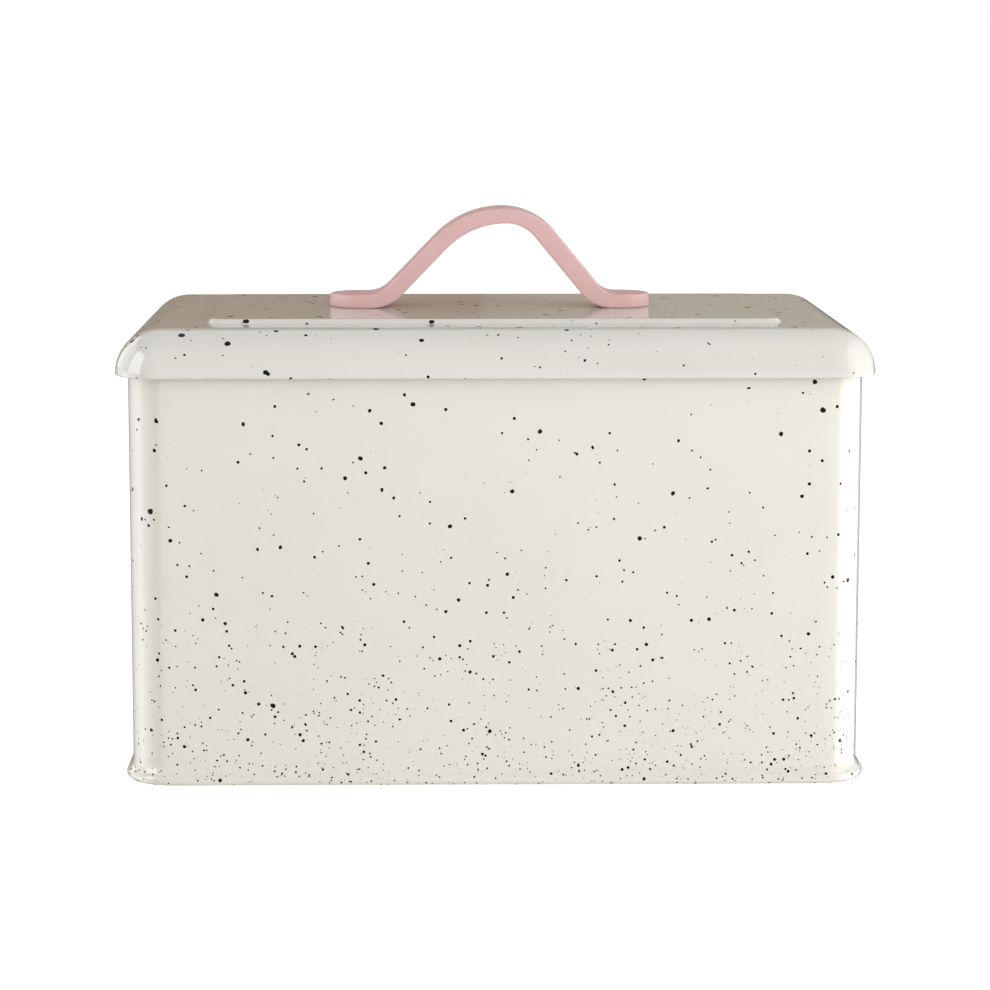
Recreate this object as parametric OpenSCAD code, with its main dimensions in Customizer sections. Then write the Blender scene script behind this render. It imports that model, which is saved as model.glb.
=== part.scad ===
// Bread bin with a lift-off lid.
// Origin on the table under the middle of the bin. +Z is up, +X is the long side, -Y is the front.
// Every piece is pressed or rolled sheet steel except the cast handle, the rim wire and the fasteners.

/* [Bin] */
// Width of the bin over its side walls
body_w = 327; // [280:1:400]
// Depth of the bin over its front and back walls
body_d = 191; // [160:1:260]
// Outer radius of the upright corners of the bin
body_r = 19; // [16:0.5:40]
// Height of the bin over its wired rim
body_h = 188.2; // [120:0.1:260]
// Thickness of all the sheet steel
sheet_t = 0.7; // [0.5:0.05:0.9]
// Radius of the wire rolled into the rim
wire_r = 1.1; // [0.9:0.1:1.3]

/* [Base] */
// How far the base bead stands out from the wall
bead_out = 3; // [2:0.1:3.6]
// Radius of the rolled base bead
bead_r = 2.4; // [2:0.1:3]
// Radius of the hollow between the bead and the wall
cove_r = 6; // [5:0.5:8]
// Height of the inside floor above the table
floor_z = 5.7; // [5:0.1:9]

/* [Lid] */
// How far the lid reaches past the bin wall on every side
lid_over = 5.3; // [5:0.1:9]
// Outer radius of the lid's corners
lid_r = 20.5; // [20.5:0.5:40]
// How far the skirt's lower edge hangs below the rim of the bin
skirt_drop = 5.3; // [5:0.1:8]
// Radius of the roll that makes the skirt and runs out level into the flat top
skirt_r = 19.8; // [18:0.1:20]

/* [Raised panel] */
// Width of the panel's flat top
panel_w = 256; // [180:1:262]
// Depth of the panel's flat top
panel_d = 124; // [80:1:140]
// Height of the panel above the flat top of the lid
panel_rise = 2; // [1.5:0.1:4]
// Width in plan of the slope round the panel
panel_slope = 2.2; // [1.5:0.1:5]
// Corner radius of the panel's flat top
panel_r = 6.5; // [3:0.5:20]
// Outer radius of the bends round the panel
panel_bend = 1.1; // [1:0.1:1.5]

/* [Collar] */
// Height of the collar below its flange
collar_h = 15; // [8:0.5:30]
// Gap between the collar and the inside of the bin
collar_gap = 1; // [0.6:0.1:2]

/* [Handle] */
// Length of the handle over its feet
handle_len = 150; // [140:1:180]
// How far the middle of the handle stands to the left of the lid's middle
handle_off = 1; // [0:0.1:3]
// Width of the strap
strap_w = 28; // [20:1:34]
// Thickness of the feet
foot_t = 6.4; // [6:0.1:8]
// Height of the crown above the panel
crown_h = 46.6; // [44:0.1:54]
// How far the crown stands to the right of the middle of the handle
crown_x = 6; // [0:0.5:7]
// Thickness of the strap at the crown
crown_t = 7; // [6:0.1:8]
// Angle of the left flank, which is the gentler one
left_angle = 46; // [44:0.5:50]
// Angle of the right flank
right_angle = 50.5; // [48:0.5:54]

/* [Fasteners] */
// Radius of the handle screws
screw_r = 2; // [1.5:0.1:2.5]
// Radius of the screw heads
head_r = 4; // [3.5:0.1:5]
// Height of the screw heads
head_h = 2.6; // [2:0.1:3]
// Radius of the washers
washer_r = 5.5; // [5:0.1:7]
// Thickness of the washers
washer_t = 0.8; // [0.5:0.1:1.2]

/* [Hidden] */
$fn = 96;

// Clearances
roll_gap = 0.05;     // round the wire inside its curl
seam_gap = 0.03;     // between the wall and the seam of the base
seat_gap = 0.05;     // between the rim and the flange that sits on it
weld_gap = 0.01;     // between the edge of the collar's flange and the inside of the lid's roll
thread_gap = 0.05;   // between a screw and its hole in the handle
join = 0.5;          // overlap of two stretches of the same sheet

// Rim of the bin
curl_in = wire_r + roll_gap;
curl_out = curl_in + sheet_t;
curl_x = body_r - sheet_t + curl_out;
curl_z = body_h - curl_out;

// Base
channel_z = 1.2;     // the wall's lower edge stands here, in the seam of the base
bead_x = body_r + bead_out - bead_r;
bead_z = bead_r - 0.1;
cove_z = bead_z + sqrt(pow(cove_r + bead_r, 2) - pow(cove_r + body_r - bead_x, 2));
pan_r = body_r - sheet_t - seam_gap;

// Lid
lid_w = body_w + 2 * lid_over;
lid_d = body_d + 2 * lid_over;
flange_z = body_h + seat_gap;
lid_edge_z = body_h - skirt_drop;
hem_r = sheet_t + 0.05;
hem_z = lid_edge_z + hem_r;
roll_x = lid_r - skirt_r;
lid_top_z = hem_z + skirt_r;
panel_z = lid_top_z + panel_rise;
slope_angle = atan2(panel_rise, panel_slope);
bend_in = panel_bend * tan(slope_angle / 2);
bend_out = (panel_bend - sheet_t) * tan(slope_angle / 2);

// Collar
collar_r = body_r - sheet_t - collar_gap;
collar_w = body_w - 2 * (sheet_t + collar_gap);
collar_d = body_d - 2 * (sheet_t + collar_gap);
flange_r = roll_x + sqrt(pow(skirt_r - sheet_t, 2) - pow(flange_z + sheet_t - hem_z, 2)) - weld_gap;

// Handle
foot_places = [for (side = [-1, 1]) side * (handle_len - strap_w) / 2 - handle_off];
crown_left_r = 44;
crown_right_r = 32;
hollow_left_r = 38.5;
hollow_right_r = 17;
hollow_shift = 1.5;  // the hollow's highest point lies this far right of the crown
under_left_r = 20;
under_right_r = 18.5;
over_left_r = 13.5;
over_right_r = 11;
blind_h = 5;
screw_len = 4.4;

// Points round an arc, at smaller angles on a larger radius
function arc(c, r, from, to) =
    let (steps = max(3, ceil(abs(to - from) * sqrt(r) / 16)))
    [for (i = [0 : steps])
        let (a = from + (to - from) * i / steps)
        c + r * [cos(a), sin(a)]];

function mirrored(points) = [for (p = points) [-p[0], p[1]]];

// Centre of the bend that joins a level foot to a flank, where the flank leaves the crown at p
function bend_centre(p, angle, r, level) =
    let (s = (level + r * (1 - cos(angle)) - p[1]) / sin(angle))
    [p[0] + s * cos(angle) - r * sin(angle), level + r];

// Left half of a contour of the strap: the bend at the foot, the flank and the arc up to the top
function half_contour(angle, bend_r, level, top_r, top) =
    let (c = top - [0, top_r],
         p = c + top_r * [-sin(angle), cos(angle)],
         b = bend_centre(p, angle, bend_r, level))
    concat(arc(b, bend_r, -90, angle - 90), arc(c, top_r, 90 + angle, 90));

function strap_outline() =
    let (crown = [crown_x, crown_h],
         hollow = [crown_x + hollow_shift, crown_h - crown_t],
         flip = [[-1, 0], [0, 1]],
         over_l = half_contour(left_angle, over_left_r, foot_t, crown_left_r, crown),
         over_r = mirrored(half_contour(right_angle, over_right_r, foot_t, crown_right_r, flip * crown)),
         under_l = half_contour(left_angle, under_left_r, 0, hollow_left_r, hollow),
         under_r = mirrored(half_contour(right_angle, under_right_r, 0, hollow_right_r, flip * hollow)),
         end = handle_len / 2)
    concat([[-end, 0], [-end, foot_t]], over_l, [for (i = [len(over_r) - 2 : -1 : 0]) over_r[i]],
           [[end, foot_t], [end, 0]], under_r, [for (i = [len(under_l) - 2 : -1 : 0]) under_l[i]]);

// A rectangle with round corners, centred
module round_rect(w, d, r) {
    square([w - 2 * r, d], center = true);
    square([w, d - 2 * r], center = true);
    for (x = [-1, 1], y = [-1, 1]) translate([x * (w / 2 - r), y * (d / 2 - r)]) circle(r);
}

module plate(w, d, r, z, t) {
    translate([0, 0, z]) linear_extrude(t) round_rect(w, d, r);
}

// Carries a section round a rectangle with round corners.
// In the section, X is measured from the corner's centre, so X = r is the outer face, and Y is height.
module sweep_rect(w, d, r) {
    for (x = [-1, 1]) {
        rotate([0, 0, 90 - 90 * x]) translate([w / 2 - r, 0, 0]) rotate([90, 0, 0])
            linear_extrude(d - 2 * r, center = true) children();
        rotate([0, 0, 90 * x]) translate([d / 2 - r, 0, 0]) rotate([90, 0, 0])
            linear_extrude(w - 2 * r, center = true) children();
    }
    for (q = [[1, 1, 0], [-1, 1, 90], [-1, -1, 180], [1, -1, 270]])
        translate([q[0] * (w / 2 - r), q[1] * (d / 2 - r), 0]) rotate([0, 0, q[2]])
            rotate_extrude(angle = 90) children();
}

// Section of the bin's wall, with its upper edge curled outwards round the wire
module wall_section() {
    translate([body_r - sheet_t, channel_z]) square([sheet_t, curl_z - channel_z]);
    translate([curl_x, curl_z]) difference() {
        circle(curl_out);
        circle(curl_in);
        polygon([[0, 0], [-2 * curl_out, -0.2], [-2 * curl_out, -3 * curl_out],
                 [-0.6 * curl_out, -2 * curl_out]]);
    }
}

// The body sheet, closed by a flat folded seam up the middle of the back
module body_shell() {
    seam_w = 8;
    color("ivory") union() {
        sweep_rect(body_w, body_d, body_r) wall_section();
        translate([0, body_d / 2, cove_z]) linear_extrude(curl_z - curl_out - cove_z - 1)
            polygon([[-seam_w / 2, -sheet_t / 2], [-seam_w / 2, 0], [-seam_w / 2 + sheet_t, sheet_t],
                     [seam_w / 2 - sheet_t, sheet_t], [seam_w / 2, 0], [seam_w / 2, -sheet_t / 2]]);
    }
}

module rim_wire() {
    color("silver") sweep_rect(body_w, body_d, body_r) translate([curl_x, curl_z]) circle(wire_r);
}

// Section of the seam and bead round the base: a channel that holds the wall's lower edge
module bead_section() {
    outside = body_r + seam_gap;
    lip_z = cove_z - 1.2;
    translate([pan_r - sheet_t, channel_z - sheet_t]) square([sheet_t, floor_z - channel_z + sheet_t]);
    translate([pan_r - sheet_t, channel_z - sheet_t]) square([bead_x - pan_r + sheet_t, sheet_t]);
    difference() {
        union() {
            translate([bead_x, bead_z]) circle(bead_r);
            polygon([[outside, channel_z], [bead_x, bead_z], [body_r + cove_r, cove_z],
                     [body_r + cove_r, lip_z], [outside, lip_z]]);
        }
        translate([body_r + cove_r, cove_z]) circle(cove_r);
        translate([body_r + bead_out - 2 * bead_r, -1]) square([2 * bead_r, 1]);
        translate([outside - 2 * bead_r, channel_z]) square([2 * bead_r, cove_z]);
        translate([body_r + bead_out - 0.2, lip_z]) square([cove_r, cove_z]);
        translate([body_r + bead_out, bead_z]) square([cove_r, cove_z]);
    }
}

module base_pan() {
    inset = sheet_t + seam_gap;
    color("ivory") union() {
        sweep_rect(body_w, body_d, body_r) bead_section();
        plate(body_w - 2 * (inset + join / 2), body_d - 2 * (inset + join / 2), pan_r - join / 2,
              floor_z - sheet_t, sheet_t);
    }
}

// Section of the lid's skirt: a folded hem, and the roll that runs out level into the flat top
module skirt_section() {
    translate([lid_r - hem_r, hem_z]) circle(hem_r);
    intersection() {
        translate([roll_x, hem_z]) difference() {
            circle(skirt_r);
            circle(skirt_r - 2 * hem_r);
        }
        translate([roll_x + skirt_r / 2, hem_z]) square([skirt_r, flange_z - hem_z]);
    }
    intersection() {
        translate([roll_x, hem_z]) difference() {
            circle(skirt_r);
            circle(skirt_r - sheet_t);
        }
        translate([roll_x, hem_z]) square(skirt_r + 1);
    }
    translate([roll_x / 2, lid_top_z - sheet_t]) square([roll_x / 2, sheet_t]);
}

// Section of the slope round the raised panel: the sheet bends up at its foot and level again at its top
module slope_section() {
    foot = panel_r + panel_slope;
    foot_c = [foot + bend_out, lid_top_z + panel_bend - sheet_t];
    top_c = [panel_r - bend_in, panel_z - panel_bend];
    inner = panel_r - bend_in - join;
    outer = foot + bend_out + join;
    polygon(concat([[outer, lid_top_z]],
                   arc(foot_c, panel_bend - sheet_t, -90, -90 - slope_angle),
                   arc(top_c, panel_bend, 90 - slope_angle, 90),
                   [[inner, panel_z], [inner, panel_z - sheet_t]],
                   arc(top_c, panel_bend - sheet_t, 90, 90 - slope_angle),
                   arc(foot_c, panel_bend, -90 - slope_angle, -90),
                   [[outer, lid_top_z - sheet_t]]));
}

module lid_shell() {
    flat_r = 0.75 * roll_x;
    flat_w = lid_w - 2 * (lid_r - flat_r);
    flat_d = lid_d - 2 * (lid_r - flat_r);
    slope_w = panel_w + 2 * panel_slope;
    slope_d = panel_d + 2 * panel_slope;
    hole_in = bend_out + join / 2;
    top_in = bend_in + join / 2;
    color("ivory") difference() {
        union() {
            sweep_rect(lid_w, lid_d, lid_r) skirt_section();
            difference() {
                plate(flat_w, flat_d, flat_r, lid_top_z - sheet_t, sheet_t);
                plate(slope_w + 2 * hole_in, slope_d + 2 * hole_in, panel_r + panel_slope + hole_in,
                      lid_top_z - 2 * sheet_t, 3 * sheet_t);
            }
            sweep_rect(slope_w, slope_d, panel_r + panel_slope) slope_section();
            plate(panel_w - 2 * top_in, panel_d - 2 * top_in, panel_r - top_in, panel_z - sheet_t, sheet_t);
        }
        for (x = foot_places) translate([x, 0, panel_z - 3 * sheet_t])
            cylinder(r = screw_r + 0.25, h = 6 * sheet_t);
    }
}

// Collar that enters the bin's mouth. Its flange sits on the rim and is held above the lid's hem.
module lid_collar() {
    flange_in = 2 * (lid_r - flange_r);
    color("ivory") union() {
        sweep_rect(collar_w, collar_d, collar_r)
            translate([collar_r - sheet_t, flange_z - collar_h]) square([sheet_t, collar_h + sheet_t]);
        difference() {
            plate(lid_w - flange_in, lid_d - flange_in, flange_r, flange_z, sheet_t);
            plate(collar_w - sheet_t, collar_d - sheet_t, collar_r - sheet_t / 2, flange_z - 1, 3);
        }
    }
}

// Cast strap handle with round ends and a blind hole up into each foot
module handle() {
    color("lightpink") difference() {
        translate([-handle_off, 0, panel_z]) intersection() {
            translate([0, strap_w / 2, 0]) rotate([90, 0, 0])
                linear_extrude(strap_w) polygon(strap_outline());
            linear_extrude(2 * crown_h, center = true) round_rect(handle_len, strap_w, strap_w / 2 - 0.001);
        }
        for (x = foot_places) translate([x, 0, panel_z - 1])
            cylinder(r = screw_r + thread_gap, h = blind_h + 1);
    }
}

// Pan head screw with a cross recess, pointing up through the panel into the handle
module handle_screw(x) {
    under = panel_z - sheet_t - washer_t;
    color("silver") translate([x, 0, under - head_h]) difference() {
        union() {
            cylinder(r = head_r, h = head_h);
            cylinder(r = screw_r, h = head_h + washer_t + sheet_t + screw_len);
        }
        for (a = [0, 90]) rotate([0, 0, a]) translate([-2, -0.5, -1]) cube([4, 1, 1 + 0.6 * head_h]);
    }
}

module handle_washer(x) {
    color("silver") translate([x, 0, panel_z - sheet_t - washer_t]) difference() {
        cylinder(r = washer_r, h = washer_t);
        translate([0, 0, -1]) cylinder(r = screw_r + 0.25, h = washer_t + 2);
    }
}

body_shell();
rim_wire();
base_pan();
lid_shell();
lid_collar();
handle();
handle_screw(foot_places[0]);  // handle_screw_left
handle_screw(foot_places[1]);  // handle_screw_right
handle_washer(foot_places[0]);  // handle_washer_left
handle_washer(foot_places[1]);  // handle_washer_right
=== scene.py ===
import math

import bmesh
import bpy
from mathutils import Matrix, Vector


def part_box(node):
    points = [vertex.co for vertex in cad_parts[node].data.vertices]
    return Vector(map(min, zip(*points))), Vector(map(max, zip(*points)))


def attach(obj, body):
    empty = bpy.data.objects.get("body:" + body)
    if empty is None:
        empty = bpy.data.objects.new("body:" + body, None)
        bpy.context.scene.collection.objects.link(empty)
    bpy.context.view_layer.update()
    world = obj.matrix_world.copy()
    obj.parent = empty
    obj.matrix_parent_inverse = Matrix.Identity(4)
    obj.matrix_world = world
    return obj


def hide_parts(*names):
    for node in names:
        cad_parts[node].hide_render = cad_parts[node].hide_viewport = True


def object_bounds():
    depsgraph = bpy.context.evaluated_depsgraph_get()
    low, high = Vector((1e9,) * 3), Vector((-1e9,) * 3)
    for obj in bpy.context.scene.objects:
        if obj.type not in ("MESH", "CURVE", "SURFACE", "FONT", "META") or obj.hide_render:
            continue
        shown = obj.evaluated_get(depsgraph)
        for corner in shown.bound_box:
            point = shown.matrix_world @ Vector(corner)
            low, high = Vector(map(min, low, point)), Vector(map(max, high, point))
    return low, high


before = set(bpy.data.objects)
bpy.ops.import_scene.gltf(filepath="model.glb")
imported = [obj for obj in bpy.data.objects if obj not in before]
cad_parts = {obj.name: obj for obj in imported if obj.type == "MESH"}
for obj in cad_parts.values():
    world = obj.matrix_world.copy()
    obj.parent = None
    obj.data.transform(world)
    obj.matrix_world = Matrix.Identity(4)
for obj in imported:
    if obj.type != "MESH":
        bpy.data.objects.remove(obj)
cad_low, cad_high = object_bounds()

MM = 0.001

# ---------------------------------------------------------------- sizes of the bin, in metres
SHEET = 0.7 * MM
WIRE_R = 1.1 * MM
ROLL_GAP = 0.05 * MM
CURL_IN = WIRE_R + ROLL_GAP
CURL_OUT = CURL_IN + SHEET
BODY_R = 19 * MM
BEAD_R = 2.4 * MM
COVE_R = 6 * MM
SEAM_W = 8 * MM
LID_R = 20.5 * MM
SKIRT_R = 19.8 * MM
HEM_R = 0.75 * MM
PANEL_SLOPE = 2.2 * MM
PANEL_RISE = 2 * MM
PANEL_BEND = 1.1 * MM
PANEL_R = 6.5 * MM
PANEL_W = 256 * MM
PANEL_D = 124 * MM
SUPPORT = 1.2 * MM      # extra row of faces that keeps a flat face flat beside a bend
CORNER_STEPS = 20
CHANNEL_Z = 1.2 * MM
SEAM_GAP = 0.03 * MM
FOOT_FLAT = 0.1 * MM
FLOOR_Z = 5.7 * MM

# the strap handle: the slopes of its flanks in degrees, then sizes in metres
LEFT_ANGLE = 46
RIGHT_ANGLE = 50.5
CROWN_X = 6 * MM
CROWN_T = 7 * MM
CROWN_LEFT_R = 44 * MM
CROWN_RIGHT_R = 32 * MM
HOLLOW_SHIFT = 1.5 * MM
HOLLOW_LEFT_R = 38.5 * MM
HOLLOW_RIGHT_R = 17 * MM
OVER_LEFT_R = 13.5 * MM
OVER_RIGHT_R = 11 * MM
UNDER_LEFT_R = 20 * MM
UNDER_RIGHT_R = 18.5 * MM
FOOT_T = 6.4 * MM
STRAP_EDGE_R = 0.9 * MM
STRAP_FLAT = 0.8 * MM
EDGE_STEPS = 4
END_STEPS = 16
FLANK_STEPS = 12
CROWN_STEPS = 18

wall_low, wall_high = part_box("body_shell")
pan_low, pan_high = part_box("base_pan")
lid_low, lid_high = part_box("lid_shell")
strap_low, strap_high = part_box("handle")

body_w = wall_high.x - wall_low.x - 2 * (2 * CURL_OUT - SHEET)
body_d = wall_high.y - wall_low.y - 2 * (2 * CURL_OUT - SHEET)
bead_out = (pan_high.x - pan_low.x - body_w) / 2
lid_w = lid_high.x - lid_low.x
lid_d = lid_high.y - lid_low.y
panel_z = lid_high.z
lid_top_z = panel_z - PANEL_RISE


# ---------------------------------------------------------------- node trees
class Wire:
    """An output socket. Arithmetic on wires adds Math nodes to their tree."""

    def __init__(self, tree, socket):
        self.tree = tree
        self.socket = socket

    def node(self, kind, settings=None, inputs=None, output=0):
        """Adds any node: its type, its settings, the values or wires of its inputs,
        and the output to use."""
        made = self.tree.nodes.new(kind)
        for name, value in (settings or {}).items():
            setattr(made, name, value)
        for name, value in (inputs or {}).items():
            if isinstance(value, Wire):
                self.tree.links.new(value.socket, made.inputs[name])
            else:
                made.inputs[name].default_value = value
        return Wire(self.tree, made.outputs[output]) if len(made.outputs) else made

    def out(self, name):
        """Another output of the same node."""
        return Wire(self.tree, self.socket.node.outputs[name])

    def math(self, operation, *values):
        return self.node("ShaderNodeMath", {"operation": operation}, dict(enumerate(values)))

    def __add__(self, other):
        return self.math("ADD", self, other)

    def __radd__(self, other):
        return self.math("ADD", other, self)

    def __sub__(self, other):
        return self.math("SUBTRACT", self, other)

    def __rsub__(self, other):
        return self.math("SUBTRACT", other, self)

    def __mul__(self, other):
        return self.math("MULTIPLY", self, other)

    def __rmul__(self, other):
        return self.math("MULTIPLY", other, self)

    def __truediv__(self, other):
        return self.math("DIVIDE", self, other)

    def __pow__(self, other):
        return self.math("POWER", self, other)

    def smooth(self, low, high):
        """0 below low, 1 above high, and a soft step between."""
        return self.node("ShaderNodeMapRange", {"interpolation_type": "SMOOTHSTEP"},
                         {"Value": self, "From Min": low, "From Max": high})

    def shifted(self, offset, amount):
        """A vector moved by another vector times amount."""
        scaled = self.node("ShaderNodeVectorMath", {"operation": "SCALE"},
                           {0: offset, "Scale": amount})
        return self.node("ShaderNodeVectorMath", {"operation": "ADD"}, {0: self, 1: scaled})


def mix_colour(factor, low, high):
    return factor.node("ShaderNodeMix", {"data_type": "RGBA"},
                       {"Factor": factor, 6: low, 7: high}, output=2)


def new_material(name):
    """A material with an empty tree, and the wire of its object coordinates."""
    material = bpy.data.materials.new(name)
    material.use_nodes = True
    material.node_tree.nodes.clear()
    start = Wire(material.node_tree, None)
    return material, start.node("ShaderNodeTexCoord", output="Object")


def painted(place, colour, roughness, relief, bump=1.0, distance=MM, **constants):
    """One Principled shader with a colour, a roughness and a relief.
    Constants go straight on its sockets."""
    normal = place.node("ShaderNodeBump", inputs={
        "Strength": bump, "Distance": distance, "Height": relief})
    return place.node("ShaderNodeBsdfPrincipled", inputs={
        "Base Color": colour, "Roughness": roughness, "Normal": normal, **constants})


def finish_material(shader):
    shader.node("ShaderNodeOutputMaterial", inputs={"Surface": shader})


def noise(place, size, detail=2.0, roughness=0.5, output="Fac"):
    return place.node("ShaderNodeTexNoise", output=output, inputs={
        "Vector": place, "Scale": 1 / size, "Detail": detail, "Roughness": roughness})


# ---------------------------------------------------------------- finishes
CREAM = (0.751, 0.721, 0.654, 1)
CREAM_WARM = (0.742, 0.709, 0.640, 1)
# The lid's two creams are the body's cream made a little darker and cooler: painted shade for the
# lid getting less light from above than the wall, not a different paint.
SHADED_CREAM_LID = (0.702, 0.687, 0.637, 1)
SHADED_CREAM_LID_WARM = (0.694, 0.676, 0.625, 1)
SPECK = (0.004, 0.004, 0.004, 1)
SPECK_EDGE = 0.04 * MM
PINK = (0.693, 0.441, 0.430, 1)
PINK_DEEP = (0.662, 0.410, 0.394, 1)
DRAWN = (0.50, 0.50, 0.50, 1)
DRAWN_DARK = (0.34, 0.34, 0.34, 1)
ZINC = (0.60, 0.61, 0.63, 1)
ZINC_DARK = (0.45, 0.46, 0.48, 1)


def specks(place, cell, smallest, largest, skew, share):
    """Round dots of paint, one or none in each cell. Radii run from smallest to largest."""
    cells = place.node("ShaderNodeTexVoronoi", {"feature": "F1", "voronoi_dimensions": "3D"},
                       {"Vector": place, "Scale": 1 / cell}, "Distance")
    own = cells.node("ShaderNodeTexWhiteNoise", {"noise_dimensions": "3D"},
                     {"Vector": cells.out("Color")}, "Color")
    chance = own.node("ShaderNodeSeparateColor", inputs={"Color": own}, output="Red")
    radius = (chance.out("Green") ** skew * (largest - smallest) + smallest) / cell
    inside = (radius - cells.out("Distance")).smooth(-SPECK_EDGE / cell, SPECK_EDGE / cell)
    present = (share - chance).smooth(0, 0.001)
    return inside * present


def speckled_cream(name, cream, warm, shares, largest):
    """Gloss cream powder coat with a splatter of black. The shares say how many of the fine,
    middling and wide cells hold a dot at a height."""
    material, place = new_material(name)
    height = place.node("ShaderNodeSeparateXYZ", inputs={"Vector": place}, output="Z")
    fine_share, middling_share, wide_share = shares(height)
    ragged = place.shifted(noise(place, 1.1 * MM, 1.0, output="Color"), 0.30 * MM)
    torn = place.shifted(noise(place, 3.0 * MM, 2.0, output="Color"), 1.3 * MM)
    fine = specks(ragged, cell=1.5 * MM, smallest=0.12 * MM, largest=0.50 * MM, skew=1.8,
                  share=fine_share)
    middling = specks(ragged, cell=2.5 * MM, smallest=0.40 * MM, largest=0.85 * MM, skew=1.4,
                      share=middling_share)
    wide = specks(torn, cell=4.5 * MM, smallest=0.75 * MM, largest=largest, skew=1.5,
                  share=wide_share)
    dots = fine.math("MAXIMUM", fine.math("MAXIMUM", fine, middling), wide)
    cloud = noise(place, 60 * MM, 2.0).smooth(0.3, 0.7)
    peel = noise(place, 2.6 * MM, 2.0, 0.45)
    wave = noise(place, 45 * MM, 1.0)
    relief = peel * 0.006 + wave * 0.10 + dots * 0.03
    coat = painted(place, mix_colour(cloud, cream, warm), peel * 0.03 + 0.09, relief)
    splatter = painted(place, SPECK, 0.25, relief, **{"Specular IOR Level": 0.15})
    finish_material(place.node("ShaderNodeMixShader", inputs={0: dots, 1: coat, 2: splatter}))
    return material


def body_shares(height):
    """Fine splatter lies thick at the foot of the bin and thins out towards the rim.
    The middling dots thin out slowly, and the wide ones grow more common upwards."""
    fine = height.math("EXPONENT", height / (-36 * MM)) * 0.64
    return fine, height * (-1.05) + 0.195, height * 0.45 + 0.005


def lid_shares(height):
    """The lid is dotted evenly."""
    return 0.032, 0.030, 0.060


def pink_paint():
    material, place = new_material("satin_pink_paint")
    cloud = noise(place, 25 * MM, 3.0).smooth(0.3, 0.7)
    grain = noise(place, 0.9 * MM, 3.0, 0.6)
    wave = noise(place, 18 * MM, 1.0)
    colour = mix_colour(cloud, PINK, PINK_DEEP)
    finish_material(painted(place, colour, grain * 0.08 + 0.42, grain * 0.012 + wave * 0.12))
    return material


def steel(name, colour, dark, roughness, grain_size):
    material, place = new_material(name)
    grain = noise(place, grain_size, 4.0, 0.6)
    finish_material(painted(place, mix_colour(grain.smooth(0.3, 0.7), colour, dark),
                            grain * 0.2 + roughness, grain, bump=0.15, distance=0.05 * MM,
                            Metallic=1.0))
    return material


body_paint = speckled_cream("cream_coat_body", CREAM, CREAM_WARM, body_shares, 1.35 * MM)
# The lid's coat uses the darker, cooler creams, so its colour holds painted shade on top of the
# same speckled cream as the body.
shaded_lid_paint = speckled_cream("cream_coat_lid_painted_shade", SHADED_CREAM_LID, SHADED_CREAM_LID_WARM, lid_shares, 1.85 * MM)
handle_paint = pink_paint()
wire_steel = steel("drawn_wire_steel", DRAWN, DRAWN_DARK, roughness=0.28, grain_size=0.6 * MM)
zinc_steel = steel("zinc_plated_steel", ZINC, ZINC_DARK, roughness=0.22, grain_size=0.9 * MM)


# ---------------------------------------------------------------- sweeping a section round the bin
def arc(centre, radius, start, end, steps=8):
    """Points round an arc in a section, from angle start to angle end in degrees."""
    return [(centre[0] + radius * math.cos(math.radians(start + (end - start) * i / steps)),
             centre[1] + radius * math.sin(math.radians(start + (end - start) * i / steps)))
            for i in range(steps + 1)]


def sweep_tree():
    """Carries a section round a rectangle with round corners.
    The section's X is the distance from the corner's centre and its Y is the height."""
    tree = bpy.data.node_groups.new("sweep_round_rectangle", "GeometryNodeTree")
    sockets = {}
    for name, kind in (("Section", "NodeSocketGeometry"), ("Width", "NodeSocketFloat"),
                       ("Depth", "NodeSocketFloat"), ("Corner radius", "NodeSocketFloat"),
                       ("Corner steps", "NodeSocketInt"), ("Support", "NodeSocketFloat"),
                       ("Material", "NodeSocketMaterial")):
        sockets[name] = tree.interface.new_socket(name, in_out="INPUT", socket_type=kind).identifier
    tree.interface.new_socket("Geometry", in_out="OUTPUT", socket_type="NodeSocketGeometry")
    given = Wire(tree, None).node("NodeGroupInput", output="Section")
    steps, radius = given.out("Corner steps"), given.out("Corner radius")
    per_corner = steps + 3
    index = given.node("GeometryNodeInputIndex")
    quarter = given.math("FLOOR", (index + 0.5) / per_corner)
    count = index - quarter * per_corner - 1
    turn = given.math("MINIMUM", given.math("MAXIMUM", count, 0), steps)
    slip = (count - turn) * given.out("Support")
    angle = (quarter + turn / steps) * (math.pi / 2)
    middle = (quarter + 0.5) * (math.pi / 2)
    along_x, along_y = given.math("COSINE", angle), given.math("SINE", angle)
    side_x = given.math("SIGN", given.math("COSINE", middle))
    side_y = given.math("SIGN", given.math("SINE", middle))
    x = side_x * (given.out("Width") / 2 - radius) + radius * along_x - slip * along_y
    y = side_y * (given.out("Depth") / 2 - radius) + radius * along_y + slip * along_x
    ring = given.node("GeometryNodeCurvePrimitiveCircle", {"mode": "RADIUS"},
                      {"Resolution": per_corner * 4}, "Curve")
    path = ring.node("GeometryNodeSetPosition", inputs={
        "Geometry": ring, "Position": ring.node("ShaderNodeCombineXYZ", inputs={"X": x, "Y": y})})
    inset = given.node("GeometryNodeTransform", inputs={
        "Geometry": given,
        "Translation": given.node("ShaderNodeCombineXYZ", inputs={"X": radius * -1})})
    section = inset.node("GeometryNodeMeshToCurve", inputs={"Mesh": inset})
    sheet = path.node("GeometryNodeCurveToMesh", inputs={"Curve": path, "Profile Curve": section})
    smooth = sheet.node("GeometryNodeSetShadeSmooth", inputs={"Geometry": sheet})
    whole = smooth.node("GeometryNodeRealizeInstances", inputs={"Geometry": smooth})
    coated = whole.node("GeometryNodeSetMaterial", inputs={
        "Geometry": whole, "Material": given.out("Material")})
    coated.node("NodeGroupOutput", inputs={"Geometry": coated})
    return tree, sockets


SWEEP, SWEEP_SOCKETS = sweep_tree()


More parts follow.
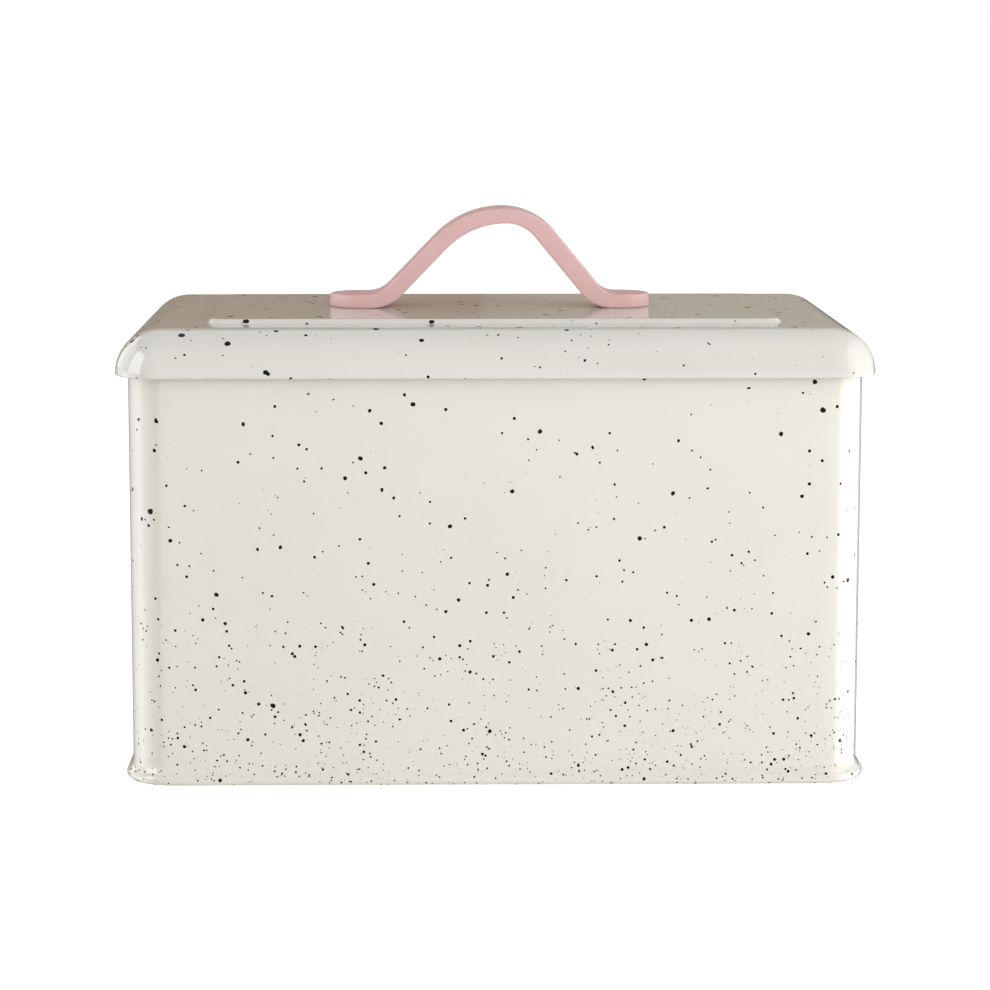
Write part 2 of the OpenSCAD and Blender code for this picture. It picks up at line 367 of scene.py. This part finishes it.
def swept(points, width, depth, radius, material, closed=False):
    """The plain mesh of one section carried round a rectangle."""
    section = bpy.data.meshes.new("section")
    edges = [(i, i + 1) for i in range(len(points) - 1)]
    if closed:
        edges.append((len(points) - 1, 0))
    section.from_pydata([(x, -z, 0) for x, z in points], edges, [])
    holder = bpy.data.objects.new("section", section)
    bpy.context.scene.collection.objects.link(holder)
    modifier = holder.modifiers.new("sweep", "NODES")
    modifier.node_group = SWEEP
    for name, value in (("Width", width), ("Depth", depth), ("Corner radius", radius),
                        ("Corner steps", CORNER_STEPS), ("Support", SUPPORT),
                        ("Material", material)):
        modifier[SWEEP_SOCKETS[name]] = value
    graph = bpy.context.evaluated_depsgraph_get()
    mesh = bpy.data.meshes.new_from_object(holder.evaluated_get(graph))
    bpy.data.objects.remove(holder)
    bpy.data.meshes.remove(section)
    return mesh


def piece(name, meshes, material, caps=(), extra=()):
    """One object from several meshes. A cap fills the flat between the level loops at its height.
    Extra faces stay flat."""
    whole = bmesh.new()
    for mesh in meshes:
        whole.from_mesh(mesh)
        bpy.data.meshes.remove(mesh)
    bmesh.ops.remove_doubles(whole, verts=whole.verts, dist=0.001 * MM)
    for height in caps:
        rim = [edge for edge in whole.edges if edge.is_boundary
               and all(abs(vert.co.z - height) < 0.01 * MM for vert in edge.verts)]
        bmesh.ops.triangle_fill(whole, edges=rim, use_beauty=True)
    for face in whole.faces:
        face.smooth = True
        face.material_index = 0
    for points, faces in extra:
        corners = [whole.verts.new(p) for p in points]
        for face in faces:
            whole.faces.new([corners[i] for i in face])
    bmesh.ops.recalc_face_normals(whole, faces=whole.faces)
    mesh = bpy.data.meshes.new(name)
    whole.to_mesh(mesh)
    whole.free()
    mesh.materials.append(material)
    made = bpy.data.objects.new(name, mesh)
    bpy.context.scene.collection.objects.link(made)
    return made


# ---------------------------------------------------------------- bin
def wall_section():
    """The body sheet: up the wall, round the wire at the rim, and back down the inside."""
    inside = BODY_R - SHEET
    curl = (inside + CURL_OUT, wall_high.z - CURL_OUT)
    lip = -107
    foot, head = wall_low.z, curl[1] - 2 * SUPPORT
    return ([(BODY_R, foot), (BODY_R, foot + SUPPORT), (BODY_R, head)]
            + arc(curl, CURL_IN, 180, lip, 24) + arc(curl, CURL_OUT, lip, 180, 24)
            + [(inside, head), (inside, foot + SUPPORT), (inside, foot)])


def base_section():
    """The base: from the wall down the hollow, round the bead, and in under the floor."""
    bead = (BODY_R + bead_out - BEAD_R, BEAD_R - FOOT_FLAT)
    apart = BODY_R + COVE_R - bead[0]
    cove = (BODY_R + COVE_R, bead[1] + math.sqrt((COVE_R + BEAD_R) ** 2 - apart ** 2))
    lean = math.degrees(math.atan2(cove[1] - bead[1], cove[0] - bead[0]))
    flat = math.degrees(math.acos(bead[1] / BEAD_R))
    riser = BODY_R - 2 * SHEET - SEAM_GAP
    under = FLOOR_Z - SHEET
    return (arc(cove, COVE_R, 180, 180 + lean, 14)
            + arc(bead, BEAD_R, lean, -90 + flat, 22)[1:]
            + arc(bead, BEAD_R, -90 - flat, -135, 5)
            + [(riser, CHANNEL_Z - SHEET), (riser, CHANNEL_Z), (riser, under - SUPPORT / 2),
               (riser, under), (riser - SUPPORT, under)])


def floor_section():
    """The inside of the base: the floor's edge, where it meets the wall."""
    riser = BODY_R - SHEET - SEAM_GAP
    return [(riser, CHANNEL_Z), (riser, FLOOR_Z), (riser - SUPPORT, FLOOR_Z)]


def seam_strip():
    """Flat folded seam up the middle of the back wall: a low strip with sloping sides."""
    back = body_d / 2
    low = base_section()[0][1] + SHEET
    high = wall_high.z - 2 * CURL_OUT - MM
    edge = SEAM_W / 2
    across = [(-edge, back - SHEET / 2), (-edge, back), (-edge + SHEET, back + SHEET),
              (edge - SHEET, back + SHEET), (edge, back), (edge, back - SHEET / 2)]
    points = [(x, y, z) for z in (low, high) for x, y in across]
    sides = len(across)
    faces = [(i, (i + 1) % sides, sides + (i + 1) % sides, sides + i) for i in range(sides)]
    return points, faces + [tuple(reversed(range(sides))), tuple(range(sides, 2 * sides))]


body = piece("bin_body", [swept(wall_section(), body_w, body_d, BODY_R, body_paint, closed=True)],
             body_paint, extra=[seam_strip()])
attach(body, "bin")
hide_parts("body_shell")

base = piece("bin_base", [swept(base_section(), body_w, body_d, BODY_R, body_paint),
                          swept(floor_section(), body_w, body_d, BODY_R, body_paint)], body_paint,
             caps=[FLOOR_Z - SHEET, FLOOR_Z])
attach(base, "bin")
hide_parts("base_pan")


# ---------------------------------------------------------------- lid
def skirt_section():
    """The lid's edge: a folded hem, and the roll that runs out level into the flat top."""
    hem = (LID_R - HEM_R, lid_low.z + HEM_R)
    roll = (LID_R - SKIRT_R, hem[1])
    flange = wall_high.z + HEM_R
    fold = math.degrees(math.asin((flange - hem[1]) / (SKIRT_R - 2 * HEM_R)))
    flat = roll[0] - SUPPORT
    upper = arc(hem, HEM_R, -180, 0, 12) + arc(roll, SKIRT_R, 0, 90, 36)[1:] + [(flat, lid_top_z)]
    under = (arc(roll, SKIRT_R - 2 * HEM_R, 0, fold, 5)[1:]
             + arc(roll, SKIRT_R - SHEET, fold, 90, 20) + [(flat, lid_top_z - SHEET)])
    return under[::-1] + upper


def slope_sections():
    """The slope round the raised panel: its upper face and its under face."""
    lean = math.degrees(math.atan2(PANEL_RISE, PANEL_SLOPE))
    foot_r = PANEL_BEND - SHEET
    half = math.tan(math.radians(lean / 2))
    foot = (PANEL_R + PANEL_SLOPE + foot_r * half, lid_top_z + foot_r)
    crown = (PANEL_R - PANEL_BEND * half, panel_z - PANEL_BEND)
    outer, inner = foot[0] + SUPPORT, crown[0] - SUPPORT
    upper = ([(outer, lid_top_z)] + arc(foot, foot_r, -90, -90 - lean, 5)
             + arc(crown, PANEL_BEND, 90 - lean, 90, 8) + [(inner, panel_z)])
    under = ([(outer, lid_top_z - SHEET)] + arc(foot, PANEL_BEND, -90, -90 - lean, 8)
             + arc(crown, foot_r, 90 - lean, 90, 5) + [(inner, panel_z - SHEET)])
    return upper, under


def lid_meshes():
    panel = (PANEL_W + 2 * PANEL_SLOPE, PANEL_D + 2 * PANEL_SLOPE, PANEL_R + PANEL_SLOPE)
    return ([swept(skirt_section(), lid_w, lid_d, LID_R, shaded_lid_paint)]
            + [swept(section, *panel, shaded_lid_paint) for section in slope_sections()])


lid = piece("lid", lid_meshes(), shaded_lid_paint,
            caps=[lid_top_z, lid_top_z - SHEET, panel_z, panel_z - SHEET])
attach(lid, "lid")
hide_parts("lid_shell")


# ---------------------------------------------------------------- handle
def contour(angle, bend_r, level, top_r, top):
    """Half a contour of the strap, from left to right: the foot's bend, the flank and the arch."""
    a = math.radians(angle)
    centre = (top[0], top[1] - top_r)
    leave = (centre[0] - top_r * math.sin(a), centre[1] + top_r * math.cos(a))
    run = (level + bend_r * (1 - math.cos(a)) - leave[1]) / math.sin(a)
    bend = (leave[0] + run * math.cos(a) - bend_r * math.sin(a), level + bend_r)
    return (arc(bend, bend_r, -90, angle - 90, FLANK_STEPS)
            + arc(centre, top_r, 90 + angle, 90, CROWN_STEPS))


def both_halves(left_bend_r, right_bend_r, level, top_left_r, top_right_r, top):
    """A whole contour from left to right. Its right half is made mirrored."""
    left = contour(LEFT_ANGLE, left_bend_r, level, top_left_r, top)
    right = contour(RIGHT_ANGLE, right_bend_r, level, top_right_r, (-top[0], top[1]))
    return left + [(-x, z) for x, z in right[::-1][1:]]


def strap_contours():
    """The contour over the strap and the contour under it, above the panel."""
    crown = (CROWN_X, strap_high.z - panel_z)
    hollow = (CROWN_X + HOLLOW_SHIFT, crown[1] - CROWN_T)
    over = both_halves(OVER_LEFT_R, OVER_RIGHT_R, FOOT_T, CROWN_LEFT_R, CROWN_RIGHT_R, crown)
    under = both_halves(UNDER_LEFT_R, UNDER_RIGHT_R, 0.0, HOLLOW_LEFT_R, HOLLOW_RIGHT_R, hollow)
    return over, under


def strap_mesh():
    """The strap as rings round its edge: out over the under face, up round its edges,
    and in over the top."""
    over, under = strap_contours()
    half = strap_high.y
    end_x = (strap_high.x - strap_low.x) / 2 - half
    middle_x = (strap_high.x + strap_low.x) / 2
    over = [(-end_x, FOOT_T)] + over + [(end_x, FOOT_T)]
    under = [(-end_x, 0.0)] + under + [(end_x, 0.0)]

    verts, loops = [], []

    def ring(inset, side, drop):
        """One ring round the strap, at an inset from its edge and a drop from its face."""
        line = over if side == "over" else under
        inwards = -drop if side == "over" else drop
        reach = half - inset
        end_turns = [math.pi / 2 * i / END_STEPS for i in range(1, END_STEPS + 1)]
        front = [(-end_x - reach * math.sin(t), reach * math.cos(t), line[0][1] + inwards)
                 for t in reversed(end_turns)]
        for i, (x, z) in enumerate(line):
            before, after = line[max(i - 1, 0)], line[min(i + 1, len(line) - 1)]
            along_x, along_z = after[0] - before[0], after[1] - before[1]
            length = math.hypot(along_x, along_z)
            front.append((x - inwards * along_z / length, reach, z + inwards * along_x / length))
        front += [(end_x + reach * math.sin(t), reach * math.cos(t), line[-1][1] + inwards)
                  for t in end_turns]
        back = [(x, -y, z) for x, y, z in front[1:-1]]
        start = len(verts)
        for x, y, z in front + back[::-1]:
            verts.append((x + middle_x, y, z + panel_z))
        loops.append((start, len(front), len(back)))

    quarter = [math.pi / 2 * i / EDGE_STEPS for i in range(EDGE_STEPS + 1)]
    ring(STRAP_EDGE_R + STRAP_FLAT, "under", 0)
    for a in quarter:
        ring(STRAP_EDGE_R * (1 - math.sin(a)), "under", STRAP_EDGE_R * (1 - math.cos(a)))
    for a in reversed(quarter):
        ring(STRAP_EDGE_R * (1 - math.sin(a)), "over", STRAP_EDGE_R * (1 - math.cos(a)))
    ring(STRAP_EDGE_R + STRAP_FLAT, "over", 0)

    faces = []
    total = loops[0][1] + loops[0][2]
    for (low, _, _), (high, _, _) in zip(loops, loops[1:]):
        for i in range(total):
            j = (i + 1) % total
            faces.append((low + i, low + j, high + j, high + i))
    for start, front_n, back_n in (loops[0], loops[-1]):
        for i in range(1, front_n - 2):
            faces.append((start + i, start + i + 1, start + total - i - 1, start + total - i))
        faces.append((start, start + 1, start + total - 1))
        faces.append((start + front_n - 2, start + front_n - 1, start + front_n))
    mesh = bpy.data.meshes.new("strap")
    mesh.from_pydata(verts, [], faces)
    return mesh


handle = piece("strap_handle", [strap_mesh()], handle_paint)
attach(handle, "lid")
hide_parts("handle")

for node, finish in (("rim_wire", wire_steel), ("lid_collar", shaded_lid_paint),
                     ("handle_screw_left", zinc_steel), ("handle_screw_right", zinc_steel),
                     ("handle_washer_left", zinc_steel), ("handle_washer_right", zinc_steel)):
    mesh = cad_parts[node].data
    mesh.materials.clear()
    mesh.materials.append(finish)


# ---------------------------------------------------------------- camera
CAMERA_PLACE = (-0.0308, -1.3372, 0.3343)
LOOKS_DOWN = 7.319      # degrees
LOOKS_RIGHT = 0.787     # degrees

scene = bpy.context.scene
camera = bpy.data.objects.new("camera", bpy.data.cameras.new("camera"))
scene.collection.objects.link(camera)
camera.data.lens = 103.65
camera.data.shift_x = 0.03
camera.data.shift_y = -0.10
camera.location = CAMERA_PLACE
camera.rotation_euler = (math.radians(90 - LOOKS_DOWN), 0, math.radians(-LOOKS_RIGHT))
scene.camera = camera
scene.view_settings.view_transform = "Standard"


# ---------------------------------------------------------------- light and floor
WHITE = (1, 1, 1, 1)
BROWN = (0.235, 0.148, 0.080, 1)
TAN = (0.33, 0.27, 0.19, 1)


def stage_plane(name, corners, material):
    """A flat part of the studio, which isn't part of the object."""
    mesh = bpy.data.meshes.new(name)
    mesh.from_pydata(corners, [], [(0, 1, 2, 3)])
    mesh.materials.append(material)
    made = bpy.data.objects.new(name, mesh)
    scene.collection.objects.link(made)
    return made


def card(name, azimuths, heights, fade, strength, colour=WHITE, distance=2.0):
    """An upright card round the object, which only its gloss shows. The card fades out towards
    its sides. Azimuth 0 is in front of the object and 90 on its right, in degrees."""
    material, place = new_material(name)
    x = place.node("ShaderNodeSeparateXYZ", inputs={"Vector": place}, output="X")
    azimuth = x.math("DEGREES", x.math("ARCTAN2", x, x.out("Y") * -1))
    inwards = azimuth.math("FLOORED_MODULO", azimuth - azimuths[0], 360)
    width = azimuths[1] - azimuths[0]
    inside = inwards.smooth(0, fade[0]) * (width - inwards).smooth(0, fade[1])
    glow = place.node("ShaderNodeEmission", inputs={"Color": colour, "Strength": strength})
    clear = place.node("ShaderNodeBsdfTransparent")
    finish_material(place.node("ShaderNodeMixShader", inputs={0: inside, 1: clear, 2: glow}))
    corners = []
    for turned, height in ((0, 0), (1, 0), (1, 1), (0, 1)):
        a = math.radians(azimuths[turned])
        corners.append((distance * math.sin(a), -distance * math.cos(a), heights[height]))
    made = stage_plane(name, corners, material)
    made.visible_camera = False
    made.visible_diffuse = False
    made.visible_shadow = False
    made.visible_transmission = False


card("bright_card_right", (43, 130), (-1.5, 0.05), (26, 8), 6.5)
card("bright_card_right_top", (40, 150), (0.05, 1.6), (34, 90), 3.8, distance=2.01)
card("dark_card_right_front", (1, 40), (0.25, 2.6), (6, 6), 0.0, distance=1.9)
card("bright_card_left", (-126, -34), (-1.5, 0.2), (40, 64), 5.6)
card("pale_card_left_edge", (-130, -103), (-1.5, 0.2), (6, 12), 2.0, distance=1.98)
card("bright_card_left_top", (-86, -48), (0.2, 2.0), (4, 5), 6.0)
card("pale_card_left_top", (-146, -86), (0.2, 1.7), (4, 5), 3.2)
card("dark_card_left", (-90, -24), (-1.5, 0.2), (2, 14), 0.0, distance=2.02)
card("grey_card_back_left", (-178, -140), (-1.5, 0.2), (2, 4), 0.2)
card("grey_card_back_right", (127, 178), (-1.5, 0.2), (4, 2), 0.05)
card("brown_card_back", (150, 232), (0.2, 1.3), (2, 8), 1.0, BROWN)
card("tan_card_back_right", (150, 187), (0.2, 1.2), (2, 15), 1.0, TAN, distance=1.6)


def lamp(name, place, size, power):
    """A square soft lamp that shines at the middle of the object."""
    data = bpy.data.lights.new(name, "AREA")
    data.size = size
    data.energy = power
    made = bpy.data.objects.new(name, data)
    scene.collection.objects.link(made)
    made.location = place
    middle = (cad_low + cad_high) / 2
    made.rotation_euler = (middle - Vector(place)).to_track_quat("-Z", "Y").to_euler()
    made.visible_glossy = False
    made.visible_camera = False


lamp("key_lamp", (0.75, -0.80, 0.18), size=0.8, power=4.3)
lamp("high_lamp", (0.7, -1.5, 1.9), size=1.6, power=7.5)


def seen_rays(wire):
    """1 for the rays that look at the studio straight, in a gloss or through clear matter."""
    camera_rays = wire.node("ShaderNodeLightPath", output="Is Camera Ray")
    straight_or_gloss = wire.math("MAXIMUM", camera_rays, camera_rays.out("Is Glossy Ray"))
    return wire.math("MAXIMUM", straight_or_gloss, camera_rays.out("Is Transmission Ray"))


LIGHT_AT_HORIZON = 1.27
LIGHT_OVERHEAD = 0.50

world = bpy.data.worlds.new("studio")
scene.world = world
world.use_nodes = True
world.node_tree.nodes.clear()
sky = Wire(world.node_tree, None).node("ShaderNodeTexCoord", output="Generated")
seen = seen_rays(sky)
rise = sky.node("ShaderNodeSeparateXYZ", inputs={"Vector": sky}, output="Z")
light = rise.smooth(0.0, 0.8) * (LIGHT_OVERHEAD - LIGHT_AT_HORIZON) + LIGHT_AT_HORIZON
surround = sky.node("ShaderNodeBackground", inputs={
    "Color": WHITE, "Strength": seen + (1 - seen) * light})
sky.node("ShaderNodeOutputWorld", inputs={"Surface": surround})

FLOOR_REACH = 6
floor_paint, place = new_material("white_floor")
lit = place.node("ShaderNodeBsdfDiffuse", inputs={"Color": (0.90, 0.90, 0.90, 1)})
dim = place.node("ShaderNodeBsdfDiffuse", inputs={"Color": (0.50, 0.50, 0.50, 1)})
glow = place.node("ShaderNodeEmission", inputs={"Color": WHITE, "Strength": 0.86})
shown = place.node("ShaderNodeAddShader", inputs={0: dim, 1: glow})
finish_material(place.node("ShaderNodeMixShader", inputs={0: seen_rays(place), 1: lit, 2: shown}))
floor = stage_plane("floor", [(x * FLOOR_REACH, y * FLOOR_REACH, 0)
                              for x, y in ((-1, -1), (1, -1), (1, 1), (-1, 1))], floor_paint)
floor.visible_glossy = False
